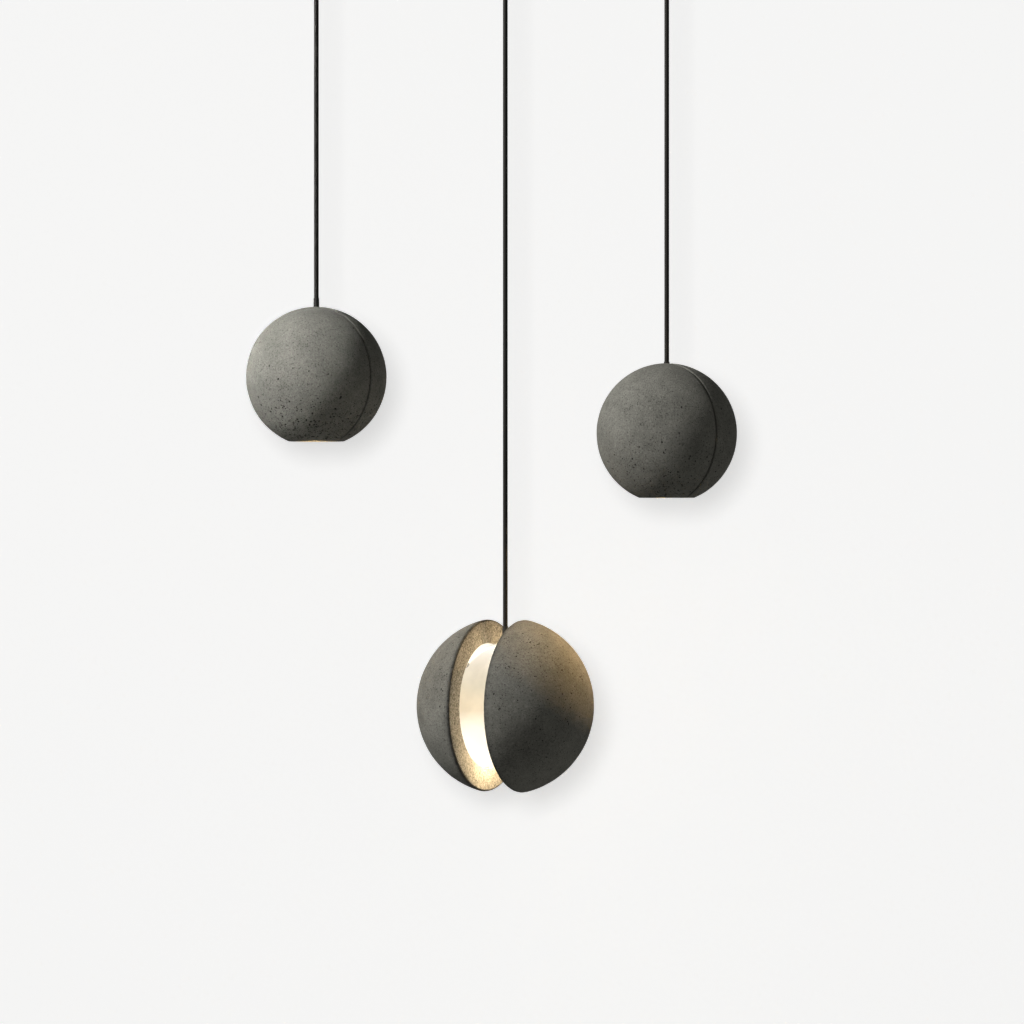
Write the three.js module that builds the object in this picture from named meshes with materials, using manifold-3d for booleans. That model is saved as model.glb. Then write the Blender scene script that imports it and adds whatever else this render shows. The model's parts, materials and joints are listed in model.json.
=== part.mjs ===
// A cluster pendant light: three concrete globes of two half shells each, hung on cords from one ceiling bar.
// Millimetres, +Z up. The origin is the centre of the ceiling plate's top face; +X runs along the bar.

import * as THREE from 'three';
import { mergeVertices } from 'three/addons/utils/BufferGeometryUtils.js';
import Module from 'manifold-3d';

// ---------------------------------------------------------------- driving dimensions

const TOUCH_GAP = 0.3; // left between pieces that touch

const CORD = { radius: 2.65, sides: 10, step: 16 };
const LEAD = { radius: 1.9, sides: 8, step: 8, height: -9.5 }; // the stripped cord inside the ceiling bar

const HARDWARE_SIDES = 16;
const GLOBE_SIDES = 28;

const PLATE = { length: 495, width: 50, thickness: 2, lugHeight: 18, lugWidth: 16 };
const COVER = { length: 500, width: 66, top: -0.5, bottom: -28, wall: 1.5, corner: 10 };
const COVER_SCREW = { height: -11, shankRadius: 2, headRadius: 4, headLength: 2.4, shankLength: 9 };
const TERMINAL = { x: -70, length: 40, width: 26, top: -2.3, bottom: -17, wireHoleRadius: 2.2 };
const INLET_HOLE = { x: 75, radius: 8 };
const CEILING_SCREW_HOLES = { x: 150, radius: 2.6 };

const GRIP = { top: -19, flangeRadius: 10.5, bodyRadius: 9, mouthRadius: 7.8, threadRadius: 6,
  flangeLength: 3.2, mouth: -50, socketRadius: 6.4, socketTop: -43, boreRadius: 3.2 };
const GRIP_NUT = { radius: 10, length: 5 };

const PIVOT_Z = -46.5; // height at which each cord swings in its grip
const SWING_RING = { outerRadius: 5.7, innerRadius: 4.1, height: 3 };
const CORD_TOP = PIVOT_Z + 1.5;
const LEAD_END = CORD_TOP + 1.2; // the fixed lead stays clear of the tilting cord

const FERRULE = { outerRadius: 3.25, innerRadius: 2.9, sunk: 8 };
const NIPPLE = { outerRadius: 5, innerRadius: 3.6 };
const NUT = { radius: 8, length: 4.5 };
const STRAP = { width: 16, thickness: 2, lowestAngle: 33, screwAngle: 42, holeRadius: 5.4 };
const STRAP_SCREW = { shankRadius: 2, headRadius: 4, headLength: 2.4, holeRadius: 2.35, bite: 9 };

const HOLDER = { radius: 14, length: 27, bore: 7.8, boreDepth: 21, wall: 3.5 };
const BULB = { radius: 22.5, neckRadius: 7, baseRadius: 7, baseLength: 18, centreBelowHolder: 25 };

const SMALL = { radius: 79, wall: 14, halfGap: 0.15, edgeRound: 1.6,
  flatBelowCentre: 72.7, mouthRadius: 24.2, nutRecessRadius: 9.4, nutRecessTop: 71.5, nippleHoleRadius: 5.4 };
const LARGE = { radius: 100, wall: 26, halfGap: 21.4, edgeRound: 4 };
const REFLECTOR = { gap: 0.9, thickness: 1.4, lip: 0.8 };

const PENDANTS = [
  { name: 'left', globe: SMALL, x: -197.1, centre: -509, turn: 53.7, strapRadius: 63.2, nippleTop: 77.5,
    ferruleTop: 88.5, holderTop: 44 },
  { name: 'large', globe: LARGE, x: 15.5, centre: -879, turn: -26.8, strapRadius: 70, nippleTop: 78,
    ferruleTop: 89.5, holderTop: 46 },
  { name: 'right', globe: SMALL, x: 197.1, centre: -572.5, turn: 43.6, strapRadius: 63.2, nippleTop: 77.5,
    ferruleTop: 80.5, holderTop: 44 },
];

// ---------------------------------------------------------------- materials

function material(color, roughness, metalness) {
  return new THREE.MeshStandardMaterial({ color, roughness, metalness });
}

const concrete = () => material(0x6b6b65, 0.9, 0);
const blackPaint = () => material(0x1b1b1b, 0.5, 0.3);
const zincSteel = () => material(0xa8aaac, 0.4, 0.9);
const whiteEnamel = () => material(0xf2ecdc, 0.5, 0);
const blackCable = () => material(0x16130f, 0.6, 0);
const darkMetal = () => material(0x2a2a2a, 0.45, 0.8);
const ceramic = () => material(0xe8e4da, 0.35, 0);
const frostedGlass = () => material(0xfff1d2, 0.3, 0);
const aluminium = () => material(0xc9c9c6, 0.35, 0.9);
const greyPlastic = () => material(0xb8b8b2, 0.6, 0);

// ---------------------------------------------------------------- solids

const wasm = await Module();
wasm.setup();

function signedVolume(positions, index) {
  const [a, b, c] = [new THREE.Vector3(), new THREE.Vector3(), new THREE.Vector3()];
  let volume = 0;
  for (let i = 0; i < index.length; i += 3) {
    a.fromArray(positions, 3 * index[i]);
    b.fromArray(positions, 3 * index[i + 1]);
    c.fromArray(positions, 3 * index[i + 2]);
    volume += a.dot(b.cross(c)) / 6;
  }
  return volume;
}

// The same closed shape with shared corners merged, no collapsed triangles, and its faces pointing out.
function closed(geometry) {
  const bare = geometry.clone();
  bare.deleteAttribute('normal');
  bare.deleteAttribute('uv');
  const merged = mergeVertices(bare, 1e-4);
  const all = merged.index.array;
  const kept = [];
  for (let i = 0; i < all.length; i += 3) {
    const [p, q, r] = [all[i], all[i + 1], all[i + 2]];
    if (p !== q && q !== r && r !== p) kept.push(p, q, r);
  }
  if (signedVolume(merged.attributes.position.array, kept) < 0) kept.reverse();
  merged.setIndex(kept);
  return merged;
}

function toSolid(geometry) {
  const shape = closed(geometry);
  return new wasm.Manifold(new wasm.Mesh({
    numProp: 3,
    vertProperties: Float32Array.from(shape.attributes.position.array),
    triVerts: Uint32Array.from(shape.index.array),
  }));
}

function toGeometry(solid) {
  const mesh = solid.getMesh();
  const geometry = new THREE.BufferGeometry();
  geometry.setAttribute('position', new THREE.BufferAttribute(mesh.vertProperties, 3));
  geometry.setIndex(new THREE.BufferAttribute(mesh.triVerts, 1));
  return geometry;
}

function cut(geometry, tools) {
  const left = tools.reduce((solid, tool) => solid.subtract(toSolid(tool)), toSolid(geometry));
  return toGeometry(left);
}

function join(geometry, additions) {
  const whole = additions.reduce((solid, piece) => solid.add(toSolid(piece)), toSolid(geometry));
  return toGeometry(whole);
}

// A profile of [radius, height] points turned about Z. It starts and ends on the axis.
function turned(profile, segments = HARDWARE_SIDES) {
  const points = profile.map(([radius, height]) => new THREE.Vector2(radius, height));
  return closed(new THREE.LatheGeometry(points, segments).rotateX(Math.PI / 2));
}

// The same for a profile that closes on itself and leaves a hole along Z.
function turnedRing(profile, segments = HARDWARE_SIDES) {
  return turned([...profile, profile[0]], segments);
}

function rod(radius, low, high, segments = HARDWARE_SIDES) {
  return turned([[0, low], [radius, low], [radius, high], [0, high]], segments);
}

function tube(outer, inner, low, high, segments = HARDWARE_SIDES) {
  return turnedRing([[inner, low], [outer, low], [outer, high], [inner, high]], segments);
}

function box(sizeX, sizeY, low, high, x = 0, y = 0) {
  return new THREE.BoxGeometry(sizeX, sizeY, high - low).translate(x, y, (low + high) / 2);
}

// [radius, height] points along a circular arc; angles in degrees above the equator.
function arc(radius, from, to, steps, centreRadius = 0, centreHeight = 0) {
  return Array.from({ length: steps + 1 }, (_, i) => {
    const angle = THREE.MathUtils.degToRad(from + ((to - from) * i) / steps);
    return [centreRadius + radius * Math.cos(angle), centreHeight + radius * Math.sin(angle)];
  });
}

// Turns a piece built along +Z so that it points away from the globe's centre at this angle above +X.
function aimed(geometry, angle) {
  return geometry.rotateY(Math.PI / 2 - THREE.MathUtils.degToRad(angle));
}

function circle(radius, sides) {
  const points = Array.from({ length: sides }, (_, i) => {
    const angle = (2 * Math.PI * i) / sides;
    return new THREE.Vector2(radius * Math.cos(angle), radius * Math.sin(angle));
  });
  return new THREE.Shape(points);
}

function cable({ radius, sides, step }, points) {
  const route = new THREE.CatmullRomCurve3(points.map((p) => new THREE.Vector3(...p)));
  const steps = Math.round(route.getLength() / step);
  return closed(new THREE.ExtrudeGeometry(circle(radius, sides), { steps, extrudePath: route }));
}

function roundedRectangle(length, width, corner) {
  const [x, y] = [length / 2 - corner, width / 2 - corner];
  const shape = new THREE.Shape();
  shape.absarc(x, y, corner, 0, Math.PI / 2);
  shape.absarc(-x, y, corner, Math.PI / 2, Math.PI);
  shape.absarc(-x, -y, corner, Math.PI, 1.5 * Math.PI);
  shape.absarc(x, -y, corner, 1.5 * Math.PI, 2 * Math.PI);
  return shape;
}

function slab(shape, low, high) {
  return new THREE.ExtrudeGeometry(shape, { depth: high - low, bevelEnabled: false, curveSegments: 4 })
    .translate(0, 0, low);
}

function hexNut(radius, bore, low, high) {
  return cut(rod(radius, low, high, 6), [rod(bore, low - 1, high + 1)]);
}

// ---------------------------------------------------------------- ceiling bar

const model = new THREE.Group();

function add(parent, name, geometry, look) {
  const mesh = new THREE.Mesh(closed(geometry), look);
  mesh.name = name;
  parent.add(mesh);
}

function ceilingPlate() {
  const lugs = [-1, 1].map((side) => {
    const x = side * (PLATE.length - PLATE.thickness) / 2;
    return box(PLATE.thickness, PLATE.lugWidth, -PLATE.lugHeight, 0, x);
  });
  const plate = join(box(PLATE.length, PLATE.width, -PLATE.thickness, 0), lugs);
  const screwWay = rod(COVER_SCREW.shankRadius + TOUCH_GAP, -PLATE.length, PLATE.length)
    .rotateY(Math.PI / 2)
    .translate(0, 0, COVER_SCREW.height);
  const fixings = [-1, 1].map((side) => (
    rod(CEILING_SCREW_HOLES.radius, -5, 5).translate(side * CEILING_SCREW_HOLES.x, 0, 0)
  ));
  const inlet = rod(INLET_HOLE.radius, -5, 5).translate(INLET_HOLE.x, 0, 0);
  return cut(plate, [screwWay, inlet, ...fixings]);
}

function canopyCover() {
  const outer = slab(roundedRectangle(COVER.length, COVER.width, COVER.corner), COVER.bottom, COVER.top);
  const pocket = slab(
    roundedRectangle(COVER.length - 2 * COVER.wall, COVER.width - 2 * COVER.wall, COVER.corner - COVER.wall),
    COVER.bottom + COVER.wall,
    1,
  );
  const outlets = PENDANTS.map(({ x }) => (
    rod(GRIP.threadRadius + TOUCH_GAP, COVER.bottom - 1, COVER.bottom + 5).translate(x, 0, 0)
  ));
  const screwWay = rod(COVER_SCREW.shankRadius + TOUCH_GAP, -COVER.length, COVER.length)
    .rotateY(Math.PI / 2)
    .translate(0, 0, COVER_SCREW.height);
  return cut(outer, [pocket, screwWay, ...outlets]);
}

// A machine screw along +Z: the head's inner face at height 0, the shank above it.
function screw({ headRadius, headLength, shankRadius }, shankLength) {
  return turned([
    [0, -headLength],
    [0.75 * headRadius, -headLength],
    [headRadius, -0.5 * headLength],
    [headRadius, 0],
    [shankRadius, 0],
    [shankRadius, shankLength],
    [0, shankLength],
  ], 12);
}

function coverScrew(side) {
  return screw(COVER_SCREW, COVER_SCREW.shankLength)
    .rotateY((-side * Math.PI) / 2)
    .translate(side * (COVER.length / 2 + TOUCH_GAP), 0, COVER_SCREW.height);
}

function terminalBlock() {
  const { x, length, width, top, bottom, wireHoleRadius } = TERMINAL;
  const screwHoles = [-1, 0, 1].flatMap((row) => [-1, 1].map((side) => (
    rod(wireHoleRadius, bottom - 1, bottom + 6, 8).translate(x + (side * length) / 4, (row * width) / 3, 0)
  )));
  return cut(box(length, width, bottom, top, x), screwHoles);
}

function cordGrip() {
  const flangeTop = COVER.bottom - TOUCH_GAP;
  const flangeBottom = flangeTop - GRIP.flangeLength;
  return turnedRing([
    [GRIP.boreRadius, GRIP.socketTop],
    [GRIP.socketRadius, GRIP.socketTop],
    [GRIP.socketRadius, GRIP.mouth],
    [GRIP.mouthRadius - 0.4, GRIP.mouth],
    [GRIP.mouthRadius, GRIP.mouth + 0.6],
    [GRIP.bodyRadius, flangeBottom - 5],
    [GRIP.bodyRadius, flangeBottom],
    [GRIP.flangeRadius, flangeBottom],
    [GRIP.flangeRadius, flangeTop],
    [GRIP.threadRadius, flangeTop],
    [GRIP.threadRadius, GRIP.top],
    [GRIP.boreRadius, GRIP.top],
  ]);
}

function gripNut() {
  const seat = COVER.bottom + COVER.wall + TOUCH_GAP;
  return hexNut(GRIP_NUT.radius, GRIP.threadRadius + TOUCH_GAP, seat, seat + GRIP_NUT.length);
}

// The stripped end of a cord: up through its grip, then along the bar to the terminal block.
function lead(x, lane) {
  const side = Math.sign(x - TERMINAL.x);
  const face = TERMINAL.x + side * (TERMINAL.length / 2 + TOUCH_GAP);
  const bend = 9;
  return cable(LEAD, [
    [x, 0, LEAD_END],
    [x, 0, LEAD_END + 8],
    [x, 0, GRIP.top - 8],
    [x, 0, GRIP.top],
    [x - side * 0.3 * bend, lane * 0.2, LEAD.height - 0.3 * bend],
    [x - side * bend, lane * 0.5, LEAD.height],
    [x - side * 3 * bend, lane, LEAD.height],
    [face + side * bend, lane, LEAD.height],
    [face, lane, LEAD.height],
  ]);
}

add(model, 'ceiling_plate', ceilingPlate(), zincSteel());
add(model, 'canopy_cover', canopyCover(), blackPaint());
add(model, 'cover_screw_left', coverScrew(-1), darkMetal());
add(model, 'cover_screw_right', coverScrew(1), darkMetal());
add(model, 'terminal_block', terminalBlock(), greyPlastic());

const LEAD_LANES = { left: 0, large: 8, right: -8 };
for (const { name, x } of PENDANTS) {
  const outlet = new THREE.Group();
  outlet.position.x = x;
  add(outlet, `${name}_cord_grip`, cordGrip(), darkMetal());
  add(outlet, `${name}_grip_nut`, gripNut(), zincSteel());
  model.add(outlet);
  add(model, `${name}_lead`, lead(x, LEAD_LANES[name]), blackCable());
}

// ---------------------------------------------------------------- pendants

// Half of a hollow sphere, its pole along +X: rim plane at x = halfGap, rounded outer rim edge.
function halfShell({ radius, wall, halfGap, edgeRound }) {
  const inner = radius - wall;
  const edgeHeight = halfGap + edgeRound;
  const edgeRadius = Math.sqrt((radius - edgeRound) ** 2 - edgeHeight ** 2);
  const outerStart = THREE.MathUtils.radToDeg(Math.atan2(edgeHeight, edgeRadius));
  const innerStart = THREE.MathUtils.radToDeg(Math.asin(halfGap / inner));
  return turned([
    ...arc(inner, 90, innerStart, 6),
    ...arc(edgeRound, -90, outerStart, 2, edgeRadius, edgeHeight),
    ...arc(radius, outerStart, 90, 8).slice(1),
  ], GLOBE_SIDES).rotateY(Math.PI / 2);
}

function strapScrewHole(globe) {
  const depth = globe.radius - globe.wall + STRAP_SCREW.bite;
  return aimed(rod(STRAP_SCREW.holeRadius, 0, depth, 10), STRAP.screwAngle);
}

function smallShell(globe) {
  const top = globe.radius + 1;
  return cut(halfShell(globe), [
    rod(globe.nippleHoleRadius, 0, top),
    rod(globe.nutRecessRadius, 0, globe.nutRecessTop),
    rod(globe.mouthRadius, -top, -top / 2, GLOBE_SIDES),
    box(3 * top, 3 * top, -2 * top, -globe.flatBelowCentre),
    strapScrewHole(globe),
  ]);
}

function largeShell(globe) {
  return cut(halfShell(globe), [strapScrewHole(globe)]);
}

// A spun bowl that lines the hollow of a large half shell.
function reflector(globe) {
  const outer = globe.radius - globe.wall - REFLECTOR.gap;
  const inner = outer - REFLECTOR.thickness;
  const lip = globe.halfGap + REFLECTOR.lip;
  const angleAt = (radius) => THREE.MathUtils.radToDeg(Math.asin(lip / radius));
  const bowl = turned([
    ...arc(inner, 90, angleAt(inner), 6),
    ...arc(outer, angleAt(outer), 90, 6),
  ], GLOBE_SIDES).rotateY(Math.PI / 2);
  return cut(bowl, [strapScrewHole(globe)]);
}

// A bent strap that follows the hollow over the top and carries both half shells.
function strap(outerRadius) {
  const inner = outerRadius - STRAP.thickness;
  const start = THREE.MathUtils.degToRad(STRAP.lowestAngle);
  const shape = new THREE.Shape();
  shape.absarc(0, 0, outerRadius, start, Math.PI - start, false);
  shape.absarc(0, 0, inner, Math.PI - start, start, true);
  const band = new THREE.ExtrudeGeometry(shape, { depth: STRAP.width, bevelEnabled: false, curveSegments: 10 })
    .rotateX(Math.PI / 2)
    .translate(0, STRAP.width / 2, 0);
  const screwHoles = [STRAP.screwAngle, 180 - STRAP.screwAngle].map((angle) => (
    aimed(rod(STRAP_SCREW.holeRadius, 0, 2 * outerRadius, 10), angle)
  ));
  return cut(band, [rod(STRAP.holeRadius, 0, 2 * outerRadius), ...screwHoles]);
}

function strapScrew(globe, strapRadius, angle) {
  const seat = strapRadius - STRAP.thickness - TOUCH_GAP - 0.2;
  const shank = globe.radius - globe.wall + STRAP_SCREW.bite - 1 - seat;
  return aimed(screw(STRAP_SCREW, shank).translate(0, 0, seat), angle);
}

function lampHolder(top) {
  const { radius, length, bore, boreDepth, wall } = HOLDER;
  const bottom = top - length;
  return turnedRing([
    [NIPPLE.outerRadius + TOUCH_GAP, top],
    [NIPPLE.outerRadius + TOUCH_GAP, bottom + boreDepth],
    [bore, bottom + boreDepth],
    [bore, bottom],
    [radius - 0.8, bottom],
    [radius, bottom + 0.8],
    [radius, top - 2 * wall],
    [radius - wall, top],
  ]);
}

function bulbBase(holderTop) {
  const bottom = holderTop - HOLDER.length;
  return turned([
    [0, bottom + BULB.baseLength],
    [BULB.baseRadius - 3, bottom + BULB.baseLength],
    [BULB.baseRadius, bottom + BULB.baseLength - 4],
    [BULB.baseRadius, bottom - 1],
    [0, bottom - 1],
  ]);
}

function bulbGlass(holderTop) {
  const baseEnd = holderTop - HOLDER.length - 1 - TOUCH_GAP;
  const centre = holderTop - HOLDER.length - BULB.centreBelowHolder;
  return turned([
    [0, baseEnd],
    [BULB.neckRadius, baseEnd],
    [BULB.neckRadius + 0.6, baseEnd - 1.5],
    ...arc(BULB.radius, 62, -90, 9, 0, centre),
  ], HARDWARE_SIDES);
}

function cord(length) {
  return cable(CORD, [[0, 0, CORD_TOP], [0, 0, CORD_TOP - length / 2], [0, 0, CORD_TOP - length]]);
}

function addPendant({ name, globe, x, centre, turn, strapRadius, nippleTop, ferruleTop, holderTop }) {
  const drop = new THREE.Group();
  drop.position.x = x;
  const ringLow = PIVOT_Z - SWING_RING.height / 2;
  const { outerRadius, innerRadius, height } = SWING_RING;
  add(drop, `${name}_swing_ring`, tube(outerRadius, innerRadius, ringLow, ringLow + height), darkMetal());
  const cordEnd = centre + holderTop - 4;
  add(drop, `${name}_cord`, cord(CORD_TOP - cordEnd), blackCable());

  const body = new THREE.Group();
  body.position.z = centre;
  body.rotation.z = THREE.MathUtils.degToRad(turn);
  const ferruleLow = nippleTop - FERRULE.sunk;
  const nippleLow = holderTop - HOLDER.length + HOLDER.boreDepth + TOUCH_GAP;
  const strapTop = strapRadius + TOUCH_GAP;
  const strapUnder = strapRadius - STRAP.thickness - 2 * TOUCH_GAP;
  const nutBore = NIPPLE.outerRadius + TOUCH_GAP;
  add(body, `${name}_ferrule`, tube(FERRULE.outerRadius, FERRULE.innerRadius, ferruleLow, ferruleTop), darkMetal());
  add(body, `${name}_nipple`, tube(NIPPLE.outerRadius, NIPPLE.innerRadius, nippleLow, nippleTop), darkMetal());
  add(body, `${name}_upper_nut`, hexNut(NUT.radius, nutBore, strapTop, strapTop + NUT.length), zincSteel());
  add(body, `${name}_lower_nut`, hexNut(NUT.radius, nutBore, strapUnder - NUT.length, strapUnder), zincSteel());
  add(body, `${name}_strap`, strap(strapRadius), whiteEnamel());
  add(body, `${name}_strap_screw_a`, strapScrew(globe, strapRadius, STRAP.screwAngle), zincSteel());
  add(body, `${name}_strap_screw_b`, strapScrew(globe, strapRadius, 180 - STRAP.screwAngle), zincSteel());

  const makeShell = globe === LARGE ? largeShell : smallShell;
  add(body, `${name}_shell_a`, makeShell(globe), concrete());
  add(body, `${name}_shell_b`, makeShell(globe).rotateZ(Math.PI), concrete());
  if (globe === LARGE) {
    add(body, `${name}_reflector_a`, reflector(globe), whiteEnamel());
    add(body, `${name}_reflector_b`, reflector(globe).rotateZ(Math.PI), whiteEnamel());
  }
  add(body, `${name}_lamp_holder`, lampHolder(holderTop), ceramic());
  add(body, `${name}_bulb_base`, bulbBase(holderTop), aluminium());
  add(body, `${name}_bulb_glass`, bulbGlass(holderTop), frostedGlass());
  drop.add(body);
  model.add(drop);
}

PENDANTS.forEach(addPendant);

export default model;
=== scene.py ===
"""Looks of the concrete cluster pendant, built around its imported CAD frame."""

import json
import math
import random

import bmesh
import bpy
from mathutils import Matrix, Vector, noise
from mathutils.geometry import delaunay_2d_cdt, tessellate_polygon
from mathutils.kdtree import KDTree

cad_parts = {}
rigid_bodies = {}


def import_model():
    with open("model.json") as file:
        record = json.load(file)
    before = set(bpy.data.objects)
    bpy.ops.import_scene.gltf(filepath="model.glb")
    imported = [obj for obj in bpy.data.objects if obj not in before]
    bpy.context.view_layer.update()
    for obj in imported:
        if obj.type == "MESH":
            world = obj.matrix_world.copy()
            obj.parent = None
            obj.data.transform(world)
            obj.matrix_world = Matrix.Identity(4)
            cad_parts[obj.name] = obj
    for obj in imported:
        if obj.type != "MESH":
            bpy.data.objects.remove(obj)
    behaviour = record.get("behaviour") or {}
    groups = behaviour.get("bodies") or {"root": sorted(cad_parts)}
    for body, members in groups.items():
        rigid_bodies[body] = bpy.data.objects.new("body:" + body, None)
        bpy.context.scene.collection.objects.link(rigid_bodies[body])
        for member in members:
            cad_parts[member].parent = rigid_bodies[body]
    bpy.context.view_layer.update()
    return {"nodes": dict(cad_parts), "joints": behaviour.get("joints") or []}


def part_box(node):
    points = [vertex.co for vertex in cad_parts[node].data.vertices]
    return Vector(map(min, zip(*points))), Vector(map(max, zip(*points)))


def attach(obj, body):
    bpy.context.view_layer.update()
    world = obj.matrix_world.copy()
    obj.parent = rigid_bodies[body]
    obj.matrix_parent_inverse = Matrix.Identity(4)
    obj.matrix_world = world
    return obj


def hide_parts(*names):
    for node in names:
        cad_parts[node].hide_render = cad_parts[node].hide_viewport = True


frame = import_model()

MM = 0.001
FILLET_STEPS = 5
LAY_DOWN = Matrix.Rotation(math.pi / 2, 4, "Y")

# ---- places, from the frame

JOINTS = {j["name"]: j for j in frame["joints"]}
NAMES = ("left", "large", "right")
PIVOT = {n: Vector(JOINTS[f"{n}_sway_side"]["pos_m"]) for n in NAMES}
CENTRE = {n: Vector(JOINTS[f"{n}_turn"]["pos_m"]) for n in NAMES}
TURN = {"left": math.radians(53.7), "large": math.radians(-26.8), "right": math.radians(43.6)}

# Globes, in millimetres about their own centre, as in the CAD. EDGE_PAINTED_SHADE is how dark the painted
# shade on the rounded edge round a large rim is, from 0 to 1.
SMALL_RADIUS = 79.0
SMALL_WALL = 14.0
SMALL_FLAT = -72.7
SMALL_MOUTH = 24.2
SMALL_HALF_GAP = 0.15
NIPPLE_HOLE = 5.4
NUT_RECESS = (9.4, 71.5)
LARGE_RADIUS = 100.0
LARGE_WALL = 26.0
LARGE_HALF_GAP = 21.4
LARGE_EDGE = 7.0
EDGE_PAINTED_SHADE = 0.72

# Small globes: how far each half is rounded at its seam, how much the other edges are, and the mesh spacing.
SEAM_EDGE = {"near": 4.5, "far": 1.0}
CRISP_EDGE = 0.35
SEAM_STEPS = (0.0, 0.12, 0.32, 0.6, 1.0, 1.15)
SEAM_ROWS = 116
OUTER_STEP = 1.7
INNER_STEP = 3.5

# Cords, in millimetres.
CORD_DIAMETER = 5.3
CORD_POINTS = 24
CORD_SIDES = 24

# Camera, level, in front of the pendants; distances in metres.
CAMERA_DISTANCE = 5.0
VIEW_CENTRE = (0.023, 0.0, -0.661)
VIEW_WIDTH = 1.152
SENSOR = 36.0

# Air holes: their number and their least and greatest radius in mm. The chance of one is
# base + gain * (way * z - start) ** power at height z on a unit globe, and none is below the lowest z.
AIR_HOLES = {
    "left": {"count": 2000, "radii": (0.42, 1.40), "lowest": -0.93,
             "base": 0.008, "gain": 1.1, "way": -1, "start": 0.22, "power": 1.2},
    "right": {"count": 900, "radii": (0.38, 1.25), "lowest": -0.93,
              "base": 0.015, "gain": 0.7, "way": -1, "start": 0.05, "power": 1.2},
    "large": {"count": 1500, "radii": (0.38, 1.05), "lowest": -1.0,
              "base": 0.12, "gain": 0.5, "way": 1, "start": -0.2, "power": 1.0},
}
HOLE_SEED = 7
WEATHER_SEED = {"left": 2.0, "right": 5.0, "large": 9.0}
WEATHER = {"small": 0.12, "large": 0.15}

# Colours, and the lamp light painted as a glow on the large bowls: its strength and the height in metres that
# its colour runs over.
GLOW_STRENGTH = 0.72
GLOW_SPAN = 0.140
# The near-black of painted shade in pores, air holes and the large rims' rounded edges.
PORE_SHADE = (0.012, 0.011, 0.010)
CONCRETE_LIGHT = (0.250, 0.248, 0.222)
CONCRETE_DARK = (0.165, 0.163, 0.146)

# Hardware, in millimetres about the globe's centre or, for the grip, below the ceiling. The strap's ends
# ("low") and its screws are at angles, in degrees above level.
GRIP_OUTLINE = (
    (3.2, -43), (6.4, -43), (6.4, -50), (7.4, -50), (7.8, -49.4), (9, -36.5), (9, -31.5), (10.5, -31.5),
    (10.5, -28.3), (6, -28.3), (6, -19), (3.2, -19),
)
FERRULE = {"outer": 3.25, "inner": 2.9, "sunk": 8.0}
NIPPLE_TOP = {"left": 77.5, "large": 78.0, "right": 77.5}
FERRULE_TOP = {"left": 88.5, "large": 89.5, "right": 80.5}
HOLDER_TOP = {"left": 44.0, "large": 46.0, "right": 44.0}
STRAP_RADIUS = {"left": 63.2, "large": 70.0, "right": 63.2}
GRIP_KNURL = {"radius": 9.6, "low": -31.3, "high": -28.5, "depth": 0.3, "count": 32}
GRIP_FLUTES = {"radius": 7.9, "low": -49, "high": -36, "depth": 0.35, "count": 8}
RING = {"inner": 4.1, "outer": 5.7, "height": 3.0}
HOLDER = {"height": 27, "hollow": 21, "bore": 7.8, "radius": 14}
BULB_RADIUS = 22.5
NUT = {"radius": 8.0, "length": 4.5, "bore": 5.3}
STRAP = {"width": 16.0, "thickness": 2.0, "corner": 2.5, "low": 33.0, "screw": 42.0,
         "bore": 5.4, "hole": 2.35}
SCREW = {"head": 4.0, "length": 2.4, "shank": 2.0}

# Ceiling bar, in millimetres.
COVER = {"length": 500.0, "width": 66.0, "top": -0.5, "bottom": -28.0, "wall": 1.5, "corner": 10.0,
         "fold": 2.2, "outlet": 6.3}
COVER_SCREW_AT = (250.3, -11.0)
PLATE = {"length": 495.0, "width": 50.0, "thickness": 2.0, "corner": 3.0}
PLATE_HOLES = ((75, 8), (-150, 2.6), (150, 2.6))
LUG = {"height": 17.0, "width": 16.0, "corner": 2.5, "middle": -9.5, "hole": 2.3, "hole_at": -1.5}

# Stage and lights: places in metres, powers in watts. A lamp's light is dropped this far below its globe's
# centre; the large globe has two, as (drop, power).
PALE = (0.913, 0.913, 0.913)
BACKDROP_Y = 0.32
FLOOR_Z = -1.9
BACKDROP_TOP = 3.0
BACKDROP_REACH = 6.0
FLOOR_REACH = 8.0
BACKDROP_GLOW = 0.584
FLOOR_GLOW = 0.80
BACKDROP_PAPER = (0.8, 0.8, 0.8)
FILL_COLOUR = (0.140, 0.140, 0.133)
KEY_FROM = (-2.38, -1.12, 0.87)
KEY_AT = (0.02, 0, -0.66)
KEY_SIZE = 1.0
KEY_COLOUR = (1.0, 0.985, 0.955)
KEY_POWER = 106
EXTRA_KEY_POWER = {"left": 58, "right": 13}
RIM_FROM = (0.9, 0.2, -1.8)
RIM_AT = (0.0, 0, -0.66)
RIM_COLOUR = (1.0, 0.97, 0.90)
RIM_POWER = 1.5
RIM_SIZE = 0.5
LOW_FROM = (0.35, -0.6, -1.75)
LOW_POWER = 1.5
LARGE_LAMPS = ((0.052, 0.72), (-0.045, 0.32))
LARGE_LAMP_COLOUR = (1.0, 0.75, 0.45)
LAMP_RADIUS = 0.024
SMALL_LAMP_DROP = 0.047
SMALL_LAMP_POWER = {"left": 1.1, "right": 6.8}
LAMP_COLOUR = (1.0, 0.68, 0.34)
PAPER_LIGHT_FROM = (-0.20, -5.0, -0.42)
PAPER_POWER = 80
PAPER_LIGHT_SIZE = 0.62


# ---- camera and cords

def link(name, mesh):
    """Adds a mesh to the scene as an object."""
    piece = bpy.data.objects.new(name, mesh)
    bpy.context.scene.collection.objects.link(piece)
    return piece


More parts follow.
